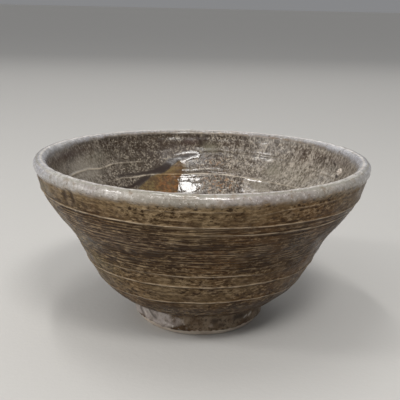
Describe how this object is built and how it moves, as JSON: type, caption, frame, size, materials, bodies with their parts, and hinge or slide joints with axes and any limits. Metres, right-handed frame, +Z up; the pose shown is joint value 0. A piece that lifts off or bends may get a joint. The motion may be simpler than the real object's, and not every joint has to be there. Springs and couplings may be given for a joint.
{
  "type": "tea bowl",
  "caption": "Wide hand-thrown stoneware tea bowl on a low foot ring, with a rolled pale lip, brown glaze outside and a dark speckled glaze inside.",
  "frame": {"origin": "middle of the foot, on the surface that the bowl stands on", "axes": "+Z up along the bowl's axis, -Y towards the side seen from the front in the picture, +X to that view's right"},
  "size_m": [0.144, 0.144, 0.0738],
  "materials": {
    "clay": "matt fired stoneware",
    "foot_clay": "matt bare clay",
    "foot_coat": "thin satin glaze",
    "brown_glaze": "glossy mottled brown glaze",
    "pale_glaze": "glossy pale grey glaze",
    "dark_glaze": "glossy dark glaze with pale speckle",
    "amber_glaze": "glossy amber glaze",
    "stone": "half-melted feldspar grain"
  },
  "bodies": {
    "root": {"clay_body": "clay", "foot_ring": "foot_clay", "foot_glaze": "foot_coat", "outer_glaze": "brown_glaze", "rim_glaze": "pale_glaze", "inner_glaze": "dark_glaze", "amber_glaze_run": "amber_glaze", "stone_grain": "stone"}
  },
  "joints": []
}
